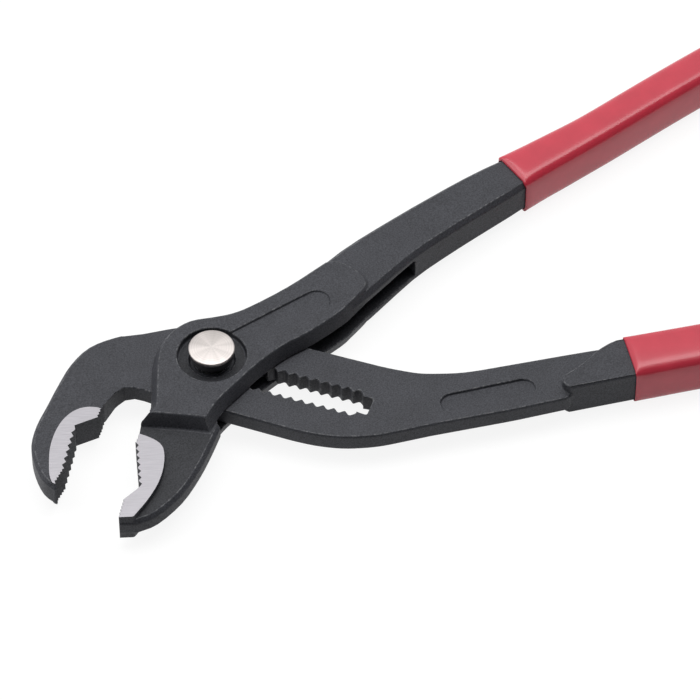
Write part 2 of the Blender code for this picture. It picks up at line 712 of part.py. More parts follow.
def rack_mouth_cutter():
    """The mouth side of the hooked jaw, from its tip to the throat."""
    tip, lower, upper, corner, facet, throat = scaled(RACK_MOUTH_SHARES, RACK_JAW_REACH, RACK_JAW_DROP)
    runs = (
        (tip, lower, SERRATION_PITCH, SERRATION_DEPTH),
        (lower, upper, TOOTH_PITCH, TOOTH_DEPTH),
        (upper, corner, TOOTH_PITCH, 0.0),
        (corner, facet, TOOTH_PITCH, 0.0),
        (facet, throat, SERRATION_PITCH, SERRATION_DEPTH),
    )
    return teeth_cutter("rack_mouth", runs, scaled(RACK_OPEN_SHARES, RACK_JAW_REACH, RACK_JAW_DROP))


def rack_slot_points(tip_half, depth):
    """The toothed slot: V notches at whole pitches, and a plain narrow end."""
    first = RACK_PHASE - (RACK_NOTCHES_BEHIND + 0.5) * RACK_PITCH
    end = RACK_PHASE + (RACK_NOTCHES_AHEAD + 0.5) * RACK_PITCH
    top = [(first, tip_half)]
    for i in range(-RACK_NOTCHES_BEHIND, RACK_NOTCHES_AHEAD + 1):
        top.append((RACK_PHASE + i * RACK_PITCH, tip_half + depth))
        top.append((RACK_PHASE + (i + 0.5) * RACK_PITCH, tip_half))
    points = top + [(end, RACK_END_WIDTH / 2), (end + RACK_SLOT_END, RACK_END_WIDTH / 2)]
    return points + [(x, -y) for x, y in reversed(points)]


def rack_jaw():
    """The hooked jaw, which thickens with its distance from the pivot."""
    half, edge = RACK_JAW_THICKNESS / 2, RACK_JAW_ROUNDING
    levels = ((-half, -edge), (edge - half, 0.0), (half - edge, 0.0), (half, -edge))
    outline = outline_of(RACK_JAW_SHARES, RACK_JAW_REACH, RACK_JAW_DROP)
    jaw = layered("rack_jaw", outline, levels)
    plate, far = PLATE_THICKNESS / 2 - PRESS_GAP, RACK_JAW_DROP * 2
    rise = half + PRESS_GAP
    profile = (
        (0, -plate), (RACK_JAW_INNER_RADIUS, -plate), (RACK_JAW_OUTER_RADIUS, -rise), (far, -rise),
        (far, rise), (RACK_JAW_OUTER_RADIUS, rise), (RACK_JAW_INNER_RADIUS, plate), (0, plate),
    )
    keep_inside(jaw, turned("jaw_ramp", profile, BUTTON_SIDES * 2))
    return jaw


def nose_cutter():
    """What is taken off the front of the thick handle, down to its round nose and the fillet at its foot."""
    sharp = outline_of(NOSE_SHARES, RACK_PLATE_LENGTH, RACK_HALF_WIDTH)
    low, high = NOSE_FILLET_SHARES
    full = [min(max((y / RACK_HALF_WIDTH - low) / (high - low), 0.0), 1.0) for _, y in sharp]
    top = TANG_THICKNESS / 2 + OVERRUN
    upper = [(PLATE_THICKNESS / 2 + height, out) for height, out in reversed(NOSE_FILLET)] + [(top, 0.0)]
    rings = []
    for z, out in [(-z, out) for z, out in reversed(upper)] + upper:
        # The outline runs clockwise, so growing it draws the cut back.
        foot = grown(sharp, out)
        rings.append([(*Vector(a).lerp(Vector(b), share), z) for a, b, share in zip(sharp, foot, full)])
    return loft("nose", rings)


def build_rack_arm():
    half, edge = PLATE_THICKNESS / 2, PLATE_EDGE
    levels = ((-half, -edge), (edge - half, 0.0), (half - edge, 0.0), (half, -edge))
    outline = outline_of(RACK_PLATE_SHARES, RACK_PLATE_LENGTH, RACK_HALF_WIDTH)
    arm = layered("rack_arm", outline, levels)
    join(arm, rack_jaw())
    half = LAND_THICKNESS / 2
    land = outline_of(RACK_LAND_SHARES, RACK_JAW_REACH, RACK_JAW_DROP)
    join(arm, layered("rack_land", land, ((-half, 0.0), (0.0, LAND_SLOPE), (half, 0.0))))
    handle = rack_handle()
    bar = handle.bar("rack_bar", -NOSE_OVERRUN, handle.length)
    cut(bar, nose_cutter())
    join(arm, bar)
    cut(arm, rack_mouth_cutter())
    half = PLATE_THICKNESS / 2 + OVERRUN
    points = rack_slot_points(RACK_TIP_WIDTH / 2, RACK_TOOTH_DEPTH)
    cut(arm, prism("rack_slot", points, -half, half))
    start, face = on_plate(POCKET_START_SHARES), PLATE_THICKNESS / 2
    cut(arm, groove_cutter("pocket", start, POCKET_TURN, POCKET_LENGTH, POCKET_RADIUS, face, POCKET_DEPTH))
    return arm


def build_joint_bolt():
    """Head, journal, toothed block and neck, one on top of the other."""
    bolt = turned(
        "joint_bolt",
        (
            (0, -FACE_Z), (HEAD_RADIUS, -FACE_Z), (HEAD_RADIUS, HEAD_TOP_Z), (JOURNAL_RADIUS, HEAD_TOP_Z),
            (JOURNAL_RADIUS, BLOCK_BOTTOM_Z), (0, BLOCK_BOTTOM_Z),
        ),
        BOLT_SIDES,
    )
    tip = RACK_TIP_WIDTH / 2 - RUNNING_GAP
    half_run = BLOCK_TEETH / 2 * RACK_PITCH
    side = [(RACK_PHASE - half_run + RUNNING_GAP, tip)]
    for i in range(BLOCK_TEETH):
        middle = RACK_PHASE - half_run + (i + 0.5) * RACK_PITCH
        side.append((middle, tip + RACK_TOOTH_DEPTH))
        side.append((middle + RACK_PITCH / 2, tip))
    side[-1] = (RACK_PHASE + half_run - RUNNING_GAP, tip)
    block = prism("block", side + [(x, -y) for x, y in reversed(side)], HEAD_TOP_Z, BLOCK_TOP_Z)
    join(bolt, block)
    join(bolt, disc("neck", NECK_RADIUS, BLOCK_BOTTOM_Z, CUP_TOP_Z, BOLT_SIDES // 2))
    return bolt


def build_button_collar():
    """A cup, open downwards, with a hole for the bolt's neck."""
    hole = NECK_RADIUS + PRESS_GAP
    inner = CUP_RADIUS - CUP_WALL
    return turned(
        "button_collar",
        (
            (hole, CUP_CEILING_Z), (inner, CUP_CEILING_Z), (inner, CUP_BOTTOM_Z), (CUP_RADIUS, CUP_BOTTOM_Z),
            (CUP_RADIUS, CUP_TOP_Z), (hole, CUP_TOP_Z),
        ),
        BUTTON_SIDES,
    )


def build_button_cap():
    """A low dome on a plain rim."""
    rim_top = CAP_BOTTOM_Z + CAP_RIM
    profile = [(0, CAP_BOTTOM_Z), (CAP_RADIUS, CAP_BOTTOM_Z), (CAP_RADIUS, rim_top)]
    edge = CAP_RADIUS - CAP_CROWN
    for i in range(CAP_STEPS + 1):
        out = 1 - i / CAP_STEPS
        profile.append((edge * out, rim_top + CAP_CROWN * (1 - out**2 / 2)))
    return turned("button_cap", profile, BUTTON_SIDES)


def build_spring_washer():
    inner, outer = NECK_RADIUS + RUNNING_GAP, CUP_RADIUS - CUP_WALL - RUNNING_GAP
    return turned(
        "spring_washer",
        ((inner, WASHER_BOTTOM_Z), (outer, WASHER_BOTTOM_Z), (outer, WASHER_TOP_Z), (inner, WASHER_TOP_Z)),
        BUTTON_SIDES,
    )


def build_bolt_spring():
    """A conical coil between the washer and the cup's ceiling, as one bevelled curve."""
    low_radius = CUP_RADIUS - CUP_WALL - RUNNING_GAP * 2 - WIRE_DIAMETER / 2
    high_radius = NECK_RADIUS + RUNNING_GAP + WIRE_DIAMETER / 2
    bottom = WASHER_TOP_Z + SEAT_GAP + WIRE_DIAMETER / 2
    top = CUP_CEILING_Z - SEAT_GAP - WIRE_DIAMETER / 2
    count = round(SPRING_TURNS * POINTS_A_TURN)
    points = []
    for i in range(count + 1):
        angle = 2 * math.pi * SPRING_TURNS * i / count
        radius = low_radius + (high_radius - low_radius) * i / count
        height = bottom + (top - bottom) * i / count
        points.append((radius * math.cos(angle), radius * math.sin(angle), height))
    curve = bpy.data.curves.new("bolt_spring", "CURVE")
    curve.dimensions = "3D"
    curve.bevel_depth = WIRE_DIAMETER / 2
    curve.bevel_resolution = 1
    curve.use_fill_caps = True
    spline = curve.splines.new("POLY")
    spline.points.add(len(points) - 1)
    for slot, point in zip(spline.points, points):
        slot.co = (*point, 1.0)
    spring = bpy.data.objects.new("bolt_spring", curve)
    bpy.context.scene.collection.objects.link(spring)
    pitch = (top - bottom) / SPRING_TURNS
    gaps = [
        (Vector(a) - Vector(b)).length
        for i, a in enumerate(points)
        for b in points[i + POINTS_A_TURN // 2:]
    ]
    least = min(gaps) - WIRE_DIAMETER
    print("spring: pitch", round(pitch / MM, 2), "mm, least gap", round(least / MM, 2), "mm")
    return spring


def main():
    clear_scene()
    black_steel = finish("phosphated_steel", "#3B3D40", 0.55, 0.6)
    bright_steel = finish("turned_steel", "#E2DCD4", 0.25, 1.0)
    black_cup = finish("blacked_steel", "#17181A", 0.5, 0.4)
    spring_steel = finish("spring_steel", "#8C8F92", 0.35, 1.0)
    red_vinyl = finish("dipped_vinyl", "#C4333F", 0.3, 0.0)

    pivot = carrier("pivot", (0.0, 0.0, FACE_Z), 0.0)
    rack_frame = carrier("rack_frame", (0.0, 0.0, 0.0), RACK_ANGLE, pivot)

    place(build_box_arm(), pivot, black_steel)
    place(build_rack_arm(), rack_frame, black_steel)
    place(build_joint_bolt(), rack_frame, spring_steel)
    place(build_button_collar(), rack_frame, black_cup)
    place(build_button_cap(), rack_frame, bright_steel)
    place(build_spring_washer(), rack_frame, spring_steel)
    spring = build_bolt_spring()
    spring.parent = rack_frame
    spring.data.materials.append(spring_steel)
    upper, lower = box_handle(), rack_handle()
    place(upper.grip("box_arm_grip", upper.distance_to(BOX_GRIP_START)), pivot, red_vinyl)
    place(lower.grip("rack_arm_grip", lower.distance_to(RACK_GRIP_START)), rack_frame, red_vinyl)


main()
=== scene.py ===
"""Adjustable pliers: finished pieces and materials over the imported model, with a plain studio.

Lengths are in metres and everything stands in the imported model's own frame: the pivot axis is Z, X runs
along the box arm towards the handles, and z = 0 is the face that the tool lies on.
"""

import json
import math

import bmesh
import bpy
from mathutils import Matrix, Vector
from mathutils.bvhtree import BVHTree

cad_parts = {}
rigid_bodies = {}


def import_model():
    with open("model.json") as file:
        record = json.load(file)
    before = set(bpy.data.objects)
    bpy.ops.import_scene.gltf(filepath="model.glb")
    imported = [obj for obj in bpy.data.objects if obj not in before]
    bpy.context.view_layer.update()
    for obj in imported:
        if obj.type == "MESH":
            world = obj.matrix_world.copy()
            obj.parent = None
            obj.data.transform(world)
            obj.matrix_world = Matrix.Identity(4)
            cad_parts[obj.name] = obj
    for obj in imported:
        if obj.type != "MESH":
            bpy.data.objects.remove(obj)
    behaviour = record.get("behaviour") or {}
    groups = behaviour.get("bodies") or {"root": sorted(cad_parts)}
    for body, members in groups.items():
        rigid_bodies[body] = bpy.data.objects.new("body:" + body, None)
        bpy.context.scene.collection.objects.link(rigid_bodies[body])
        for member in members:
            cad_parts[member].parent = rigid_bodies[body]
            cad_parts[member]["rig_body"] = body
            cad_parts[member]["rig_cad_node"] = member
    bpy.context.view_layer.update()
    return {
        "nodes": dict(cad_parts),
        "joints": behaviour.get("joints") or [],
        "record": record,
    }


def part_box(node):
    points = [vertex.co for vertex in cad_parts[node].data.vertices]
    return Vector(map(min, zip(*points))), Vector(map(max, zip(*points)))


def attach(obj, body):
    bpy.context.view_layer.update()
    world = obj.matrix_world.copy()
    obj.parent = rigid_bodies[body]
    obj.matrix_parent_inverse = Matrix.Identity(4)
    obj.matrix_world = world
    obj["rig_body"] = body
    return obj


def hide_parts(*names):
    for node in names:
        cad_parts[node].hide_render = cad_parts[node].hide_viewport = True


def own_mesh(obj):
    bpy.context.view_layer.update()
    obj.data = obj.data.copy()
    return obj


bl_info = {
    "name": "Adjustable Pliers",
    "version": (1, 0, 0),
    "blender": (4, 5, 0),
    "location": "3D View > Sidebar > Pliers",
    "description": "Finishes the forgings, dipped grips and push button of adjustable pliers",
    "category": "Object",
}

MM = 0.001
# The real finish that stands for each of the record's material slots
FINISHES = {
    "phosphated_steel": "black_phosphate",
    "dipped_vinyl": "fused_pvc",
    "turned_steel": "turned_steel_and_painted_rays",
    "blacked_steel": "hot_blacked_steel",
    "spring_steel": "oiled_spring_steel_and_painted_rays",
}
# Finishes that some faces of the arms have besides
GROUND_FINISH = "ground_jaw_steel"
# The seats' darker coat is partly the milled faces' own coat and partly painted shade for the recess round
# the button and the lower step beside the jaws.
SEAT_COAT_AND_SHADE = "machined_phosphate_and_painted_shade"

# The middle of the joint's thickness, and how far from it the jaws' flats and the step beside them lie
MIDDLE_Z = 5.5 * MM
LAND_RISE = 3.4 * MM
STEP_RISE = 2.2 * MM
# The turned recess round the button
RECESS_Z = 9.4 * MM
RECESS_RADIUS = 7.2 * MM
# A face lies at a level when it is no farther off than this.
LEVEL_SLACK = 0.02 * MM
# The jaws' flats lie beyond the first of these, and the teeth, whose edges stay crisp, beyond the second.
JAWS_X = -18 * MM
TEETH_X = -20 * MM
# The lower jaw's throat is a corner of its own, and stays crisp too.
THROAT_X = -16.6 * MM
THROAT_Y = -8 * MM
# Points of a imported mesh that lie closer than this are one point.
SAME_POINT = 0.02 * MM
# The roundings need the points of each arm this far apart.
BOX_SHORTEST = 0.12 * MM
RACK_SHORTEST = 0.24 * MM
# How upright a face's normal is when the face is level, and when the bench rubs its edges
LEVEL_FACE = 0.99
RUBBED_FACE = 0.9

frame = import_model()


def linear(hex_colour):
    """The linear RGB of an sRGB hex colour."""
    channels = [int(hex_colour[i:i + 2], 16) / 255 for i in (1, 3, 5)]
    return tuple(c / 12.92 if c <= 0.04045 else ((c + 0.055) / 1.055) ** 2.4 for c in channels)


class ForgingSettings(bpy.types.PropertyGroup):
    """The two arms: forged, shot blasted and phosphated, with ground jaw faces."""

    edge_radius: bpy.props.FloatProperty(
        name="Edge Radius", description="How far the forging's outer edges are rounded",
        default=0.3 * MM, min=0.05 * MM, max=1.0 * MM, subtype="DISTANCE", unit="LENGTH", precision=5,
    )
    fillet_radius: bpy.props.FloatProperty(
        name="Fillet Radius", description="How far the forging's inner corners are filled",
        default=0.4 * MM, min=0.05 * MM, max=1.0 * MM, subtype="DISTANCE", unit="LENGTH", precision=5,
    )
    steel: bpy.props.FloatVectorProperty(
        name="Phosphated Steel", description="Colour of the black phosphate coat",
        default=linear("#3C3D42"), min=0.0, max=1.0, subtype="COLOR",
    )
    # Partly the milled seats' own coat and partly painted shade: it darkens the recess round the button and
    # the step beside the lower jaw's flats.
    seat_coat_and_shade: bpy.props.FloatVectorProperty(
        name="Machined Seats", description="Colour of the coat on faces that were machined first",
        default=linear("#2C2D31"), min=0.0, max=1.0, subtype="COLOR",
    )
    worn: bpy.props.FloatVectorProperty(
        name="Worn Edges", description="Colour where the coat is rubbed thin",
        default=linear("#77787A"), min=0.0, max=1.0, subtype="COLOR",
    )
    ground: bpy.props.FloatVectorProperty(
        name="Ground Steel", description="Colour of the jaws' bright ground faces",
        default=linear("#98969A"), min=0.0, max=1.0, subtype="COLOR",
    )


class GripSettings(bpy.types.PropertyGroup):
    """The two dipped vinyl grips."""

    smoothing: bpy.props.IntProperty(
        name="Smoothing", description="How many times the dipped skin is subdivided", default=2, min=0, max=3,
    )
    vinyl: bpy.props.FloatVectorProperty(
        name="Dipped Vinyl", description="Colour of the grips",
        default=linear("#C83A4B"), min=0.0, max=1.0, subtype="COLOR",
    )


class ButtonSettings(bpy.types.PropertyGroup):
    """The push button and what lies under it."""

    rim_radius: bpy.props.FloatProperty(
        name="Rim Radius", description="How far the cap's upper rim is rounded",
        default=0.32 * MM, min=0.05 * MM, max=0.4 * MM, subtype="DISTANCE", unit="LENGTH", precision=5,
    )
    coils: bpy.props.FloatProperty(
        name="Coils", description="Turns of the spring under the button", default=2.0, min=1.0, max=6.0,
    )
    wire: bpy.props.FloatProperty(
        name="Wire", description="Thickness of the spring's wire",
        default=0.4 * MM, min=0.2 * MM, max=0.6 * MM, subtype="DISTANCE", unit="LENGTH", precision=5,
    )
    cap: bpy.props.FloatVectorProperty(
        name="Turned Steel", description="Colour of the button's bright cap",
        default=linear("#B9B3B0"), min=0.0, max=1.0, subtype="COLOR",
    )
    collar: bpy.props.FloatVectorProperty(
        name="Blacked Steel", description="Colour of the cup under the cap",
        default=linear("#38383B"), min=0.0, max=1.0, subtype="COLOR",
    )
    bolt: bpy.props.FloatVectorProperty(
        name="Bolt Steel", description="Colour of the bolt, its spring and washer",
        default=linear("#A3A5A8"), min=0.0, max=1.0, subtype="COLOR",
    )


class StageSettings(bpy.types.PropertyGroup):
    """The camera at the photograph's angle, the lamps and the floor."""

    elevation: bpy.props.FloatProperty(
        name="Camera Elevation", description="Angle of the camera above the floor",
        default=math.radians(50.0), subtype="ANGLE",
    )
    turn: bpy.props.FloatProperty(
        name="Camera Turn", description="Angle of the camera's right hand from the box arm",
        default=math.radians(-34.1), subtype="ANGLE",
    )
    distance: bpy.props.FloatProperty(
        name="Camera Distance", description="From the camera to the point that it aims at",
        default=0.9375, min=0.1, subtype="DISTANCE", unit="LENGTH",
    )
    lens: bpy.props.FloatProperty(
        name="Lens", description="Focal length on a 36 mm sensor, in millimetres",
        default=231.43, min=10.0,
    )
    aim: bpy.props.FloatVectorProperty(
        name="Aim", description="Point in the middle of the picture",
        default=(26.825 * MM, -11.308 * MM, 5.621 * MM), subtype="TRANSLATION", unit="LENGTH", precision=5,
    )
    floor: bpy.props.FloatVectorProperty(
        name="Floor", description="Colour of the floor", default=linear("#EFEFEF"), min=0.0, max=1.0,
        subtype="COLOR",
    )
    key_power: bpy.props.FloatProperty(
        name="Key Light", description="Power of the soft light behind and above the tool, in watts",
        default=5.0, min=0.0,
    )
    side_power: bpy.props.FloatProperty(
        name="Side Light", description="Power of the soft light at the left, in watts",
        default=1.4, min=0.0,
    )
    sky: bpy.props.FloatProperty(
        name="Sky", description="Strength of the even light from all around", default=0.5, min=0.0,
    )
    card_height: bpy.props.FloatProperty(
        name="Card Height", description="Height of the black card in front, which keeps the walls dark",
        default=0.8, min=0.0, subtype="DISTANCE", unit="LENGTH",
    )
    card_distance: bpy.props.FloatProperty(
        name="Card Distance", description="From the tool to the round black card",
        default=0.5, min=0.3, subtype="DISTANCE", unit="LENGTH",
    )
    card_turn: bpy.props.FloatProperty(
        name="Card Turn", description="From the camera's side to the card's middle, towards the right",
        default=math.radians(25.0), subtype="ANGLE",
    )
    card_spread: bpy.props.FloatProperty(
        name="Card Spread", description="How far the card reaches round the tool",
        default=math.radians(170.0), min=0.0, subtype="ANGLE",
    )


# Materials


def add_node(tree, kind, settings, links=()):
    """Adds a node. Settings are properties or sockets by name or number, and links are (socket, source)."""
    node = tree.nodes.new(kind)
    for key, value in settings.items():
        if isinstance(key, str) and key in node.bl_rna.properties:
            setattr(node, key, value)
        else:
            node.inputs[key].default_value = value
    for socket, source in links:
        tree.links.new(source, node.inputs[socket])
    return node


def new_material(name, sockets):
    """Makes a material with these sockets set. Returns it, its node tree and its Principled shader."""
    material = bpy.data.materials.new(name)
    if material.name != name:
        raise RuntimeError(f"there is a material {name} already")
    material.use_nodes = True
    tree = material.node_tree
    shader = tree.nodes["Principled BSDF"]
    for key, value in sockets.items():
        shader.inputs[key].default_value = value
    return material, tree, shader


def opaque(colour):
    return (*colour, 1.0)


def phosphated_steel(name, colour, worn):
    """Manganese phosphate on shot blasted drop forgings: a satin, almost black coat of fine crystals, which
    looks grey where it faces the light and shows a fine grain, and pale where rounded edges are rubbed."""
    material, tree, shader = new_material(name, {"Metallic": 0.0, "Specular IOR Level": 0.26})
    place = add_node(tree, "ShaderNodeTexCoord", {}).outputs["Object"]
    # Blasted grain is about 0.1 mm wide. It is drawn at 0.3 mm, so that it shows.
    grain = add_node(tree, "ShaderNodeTexNoise", {"Scale": 1 / (0.3 * MM), "Detail": 2.0, "Roughness": 0.6},
                     [("Vector", place)])
    speckle = add_node(tree, "ShaderNodeMapRange",
                       {"From Min": 0.3, "From Max": 0.7, "To Min": 0.62, "To Max": 1.4},
                       [("Value", grain.outputs["Fac"])])
    # The coat is a little uneven, in patches about 6 mm wide.
    cloud = add_node(tree, "ShaderNodeTexNoise", {"Scale": 1 / (6 * MM), "Detail": 3.0, "Roughness": 0.5},
                     [("Vector", place)])
    uneven = add_node(tree, "ShaderNodeMapRange",
                      {"From Min": 0.3, "From Max": 0.7, "To Min": 0.9, "To Max": 1.1},
                      [("Value", cloud.outputs["Fac"])])
    shade = add_node(tree, "ShaderNodeMath", {"operation": "MULTIPLY"},
                     [(0, speckle.outputs["Result"]), (1, uneven.outputs["Result"])])
    coat = add_node(tree, "ShaderNodeMix", {"data_type": "RGBA", "blend_type": "MULTIPLY", 0: 1.0,
                                            6: opaque(colour)}, [(7, shade.outputs["Value"])])
    # Rubbed edges break up into specks about 0.8 mm wide.
    rubbed = add_node(tree, "ShaderNodeAttribute", {"attribute_name": "rubbed"})
    rub = add_node(tree, "ShaderNodeTexNoise", {"Scale": 1 / (0.8 * MM), "Detail": 4.0, "Roughness": 0.7},
                   [("Vector", place)])
    patchy = add_node(tree, "ShaderNodeMapRange",
                      {"From Min": 0.46, "From Max": 0.7, "To Min": 0.0, "To Max": 0.9},
                      [("Value", rub.outputs["Fac"])])
    wear = add_node(tree, "ShaderNodeMath", {"operation": "MULTIPLY"},
                    [(0, rubbed.outputs["Fac"]), (1, patchy.outputs["Result"])])
    finish = add_node(tree, "ShaderNodeMix", {"data_type": "RGBA", 7: opaque(worn)},
                      [(0, wear.outputs["Value"]), (6, coat.outputs[2])])
    tree.links.new(finish.outputs[2], shader.inputs["Base Color"])
    sheen = add_node(tree, "ShaderNodeMapRange",
                     {"From Min": 0.3, "From Max": 0.7, "To Min": 0.62, "To Max": 0.46},
                     [("Value", grain.outputs["Fac"])])
    tree.links.new(sheen.outputs["Result"], shader.inputs["Roughness"])
    bump = add_node(tree, "ShaderNodeBump", {"Strength": 0.5, "Distance": 0.04 * MM},
                    [("Height", grain.outputs["Fac"])])
    tree.links.new(bump.outputs["Normal"], shader.inputs["Normal"])
    return material


def ground_steel(name, colour):
    """Hardened steel, surface ground dry: bright, with fine parallel grinding lines across both jaws."""
    material, tree, shader = new_material(name, {"Metallic": 1.0, "Roughness": 0.45})
    place = add_node(tree, "ShaderNodeTexCoord", {}).outputs["Object"]
    # Grinding lines are about 0.05 mm apart. They are drawn at 0.2 mm, and run about 4 mm.
    turned = add_node(tree, "ShaderNodeMapping", {"Rotation": (0.0, 0.0, math.radians(31.0))},
                      [("Vector", place)])
    drawn = add_node(tree, "ShaderNodeVectorMath", {"operation": "MULTIPLY", 1: (0.25, 5.0, 1.0)},
                     [(0, turned.outputs["Vector"])])
    lines = add_node(tree, "ShaderNodeTexNoise", {"Scale": 1 / MM, "Detail": 2.0},
                     [("Vector", drawn.outputs["Vector"])])
    tone = add_node(tree, "ShaderNodeMapRange",
                    {"From Min": 0.3, "From Max": 0.7, "To Min": 0.9, "To Max": 1.06},
                    [("Value", lines.outputs["Fac"])])
    lit = add_node(tree, "ShaderNodeMix", {"data_type": "RGBA", "blend_type": "MULTIPLY", 0: 1.0,
                                           6: opaque(colour)}, [(7, tone.outputs["Result"])])
    tree.links.new(lit.outputs[2], shader.inputs["Base Color"])
    bump = add_node(tree, "ShaderNodeBump", {"Strength": 0.25, "Distance": 0.01 * MM},
                    [("Height", lines.outputs["Fac"])])
    tree.links.new(bump.outputs["Normal"], shader.inputs["Normal"])
    return material


def dipped_vinyl(name, colour):
    """Plasticised PVC, dipped and fused: thick, glossy and opaque, with a skin that waves very slightly."""
    material, tree, shader = new_material(name, {"Roughness": 0.24, "IOR": 1.53})
    place = add_node(tree, "ShaderNodeTexCoord", {}).outputs["Object"]
    wave = add_node(tree, "ShaderNodeTexNoise", {"Scale": 1 / (5 * MM), "Detail": 2.0}, [("Vector", place)])
    bump = add_node(tree, "ShaderNodeBump", {"Strength": 0.12, "Distance": 0.15 * MM},
                    [("Height", wave.outputs["Fac"])])
    tree.links.new(bump.outputs["Normal"], shader.inputs["Normal"])
    tone = add_node(tree, "ShaderNodeMapRange",
                    {"From Min": 0.3, "From Max": 0.7, "To Min": 0.94, "To Max": 1.05},
                    [("Value", wave.outputs["Fac"])])
    skin = add_node(tree, "ShaderNodeMix", {"data_type": "RGBA", "blend_type": "MULTIPLY", 0: 1.0,
                                            6: opaque(colour)}, [(7, tone.outputs["Result"])])
    tree.links.new(skin.outputs[2], shader.inputs["Base Color"])
    return material


def turned_steel(name, colour, roughness):
    """Steel turned on a lathe: fine rings round the pivot axis, with a painted reflection: the spread of
    light that the rings throw is painted into the colour as lighter and darker rays.
    """
    material, tree, shader = new_material(name, {"Metallic": 1.0, "Roughness": roughness})
    place = add_node(tree, "ShaderNodeTexCoord", {}).outputs["Object"]
    level = add_node(tree, "ShaderNodeVectorMath", {"operation": "MULTIPLY", 1: (1.0, 1.0, 0.0)},
                     [(0, place)])
    radius = add_node(tree, "ShaderNodeVectorMath", {"operation": "LENGTH"}, [(0, level.outputs["Vector"])])
    # Turning rings are about 0.05 mm apart. They are drawn at 0.25 mm.
    rings = add_node(tree, "ShaderNodeTexNoise",
                     {"noise_dimensions": "1D", "Scale": 1 / (0.25 * MM), "Detail": 2.0},
                     [("W", radius.outputs["Value"])])
    bump = add_node(tree, "ShaderNodeBump", {"Strength": 0.3, "Distance": 0.012 * MM},
                    [("Height", rings.outputs["Fac"])])
    tree.links.new(bump.outputs["Normal"], shader.inputs["Normal"])
    tone = add_node(tree, "ShaderNodeMapRange",
                    {"From Min": 0.3, "From Max": 0.7, "To Min": 0.93, "To Max": 1.05},
                    [("Value", rings.outputs["Fac"])])
    # Painted reflection: rays of lighter and darker colour stand in for the light that the rings spread. They
    # are a few tens of degrees wide, and meet in the middle.
    way = add_node(tree, "ShaderNodeVectorMath", {"operation": "NORMALIZE"}, [(0, level.outputs["Vector"])])
    ray = add_node(tree, "ShaderNodeTexNoise", {"Scale": 1.7, "Detail": 2.0},
                   [("Vector", way.outputs["Vector"])])
    painted_fan = add_node(tree, "ShaderNodeMapRange",
                   {"From Min": 0.35, "From Max": 0.65, "To Min": 0.86, "To Max": 1.08},
                   [("Value", ray.outputs["Fac"])])
    shade = add_node(tree, "ShaderNodeMath", {"operation": "MULTIPLY"},
                     [(0, tone.outputs["Result"]), (1, painted_fan.outputs["Result"])])
    lit = add_node(tree, "ShaderNodeMix", {"data_type": "RGBA", "blend_type": "MULTIPLY", 0: 1.0,
                                           6: opaque(colour)}, [(7, shade.outputs["Value"])])
    tree.links.new(lit.outputs[2], shader.inputs["Base Color"])
    return material


def blacked_steel(name, colour):
    """Hot blacked steel: a thin dark oxide on a turned surface, so it is nearly black with a dull gleam."""
    material, tree, shader = new_material(name, {"Base Color": opaque(colour), "Roughness": 0.58})
    place = add_node(tree, "ShaderNodeTexCoord", {}).outputs["Object"]
    # Lathe lines round the cup, drawn at 0.2 mm
    lines = add_node(tree, "ShaderNodeVectorMath", {"operation": "MULTIPLY", 1: (0.1, 0.1, 1.0)},
                     [(0, place)])
    tool = add_node(tree, "ShaderNodeTexNoise", {"Scale": 1 / (0.2 * MM), "Detail": 1.0},
                    [("Vector", lines.outputs["Vector"])])
    bump = add_node(tree, "ShaderNodeBump", {"Strength": 0.2, "Distance": 0.01 * MM},
                    [("Height", tool.outputs["Fac"])])
    tree.links.new(bump.outputs["Normal"], shader.inputs["Normal"])
    return material


# Shaping


def deselect():
    bpy.ops.object.select_all(action="DESELECT")


def edit(piece):
    """Makes a piece the only selected one and opens it in edit mode, with nothing picked in it."""
    deselect()
    piece.select_set(True)
    bpy.context.view_layer.objects.active = piece
    bpy.ops.object.mode_set(mode="EDIT")
    bpy.ops.mesh.select_all(action="DESELECT")
    return bmesh.from_edit_mesh(piece.data)


def done(piece):
    bpy.ops.object.mode_set(mode="OBJECT")
    return piece


def pick(piece, mesh, elements):
    """Selects these points, edges or faces of the open piece, and nothing else. Returns how many."""
    bpy.ops.mesh.select_all(action="DESELECT")
    for element in elements:
        element.select_set(True)
    mesh.select_flush_mode()
    bmesh.update_edit_mesh(piece.data)
    return len(elements)


def merged_copy(node, name, flat=0.6):
    """A CAD node's own copy, merged, and freed of the edges that lie in faces flat to this many degrees."""
    piece = frame["nodes"][node].copy()
    piece.data = piece.data.copy()
    piece.name = name
    piece.data.name = name
    piece.parent = None
    del piece["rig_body"]
    del piece["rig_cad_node"]
    bpy.context.scene.collection.objects.link(piece)
    edit(piece)
    bpy.ops.mesh.select_all(action="SELECT")
    bpy.ops.mesh.remove_doubles(threshold=SAME_POINT)
    bpy.ops.mesh.customdata_custom_splitnormals_clear()
    if flat:
        bpy.ops.mesh.dissolve_limited(angle_limit=math.radians(flat))
    return done(piece)


def joint(name):
    """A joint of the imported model."""
    return next(j for j in frame["joints"] if j["name"] == name)


def fold(edge):
    """The angle between an edge's faces: above zero where it stands out, below zero in a corner."""
    return edge.calc_face_angle_signed(0.0)


def dress(piece, node, body, slot):
    """Gives a piece its finish and its place among the CAD nodes."""
    piece.data.materials.clear()
    piece.data.materials.append(bpy.data.materials[FINISHES[slot]])
    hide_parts(node)
    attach(piece, body)


def smooth(piece, angle=32.0, flats=True):
    """Smooth shading up to this angle. With flats, large faces stay flat and only their roundings blend."""
    deselect()
    piece.select_set(True)
    bpy.context.view_layer.objects.active = piece
    bpy.ops.object.shade_smooth_by_angle(angle=math.radians(angle))
    if flats:
        level = piece.modifiers.new("flats", "WEIGHTED_NORMAL")
        level.mode = "FACE_AREA"
        level.keep_sharp = True
        bpy.ops.object.modifier_apply(modifier=level.name)


def beside_level(edge):
    """Whether one of an edge's faces lies level, where hands and the bench rub it."""
    return any(abs(face.normal.z) > RUBBED_FACE for face in edge.link_faces)


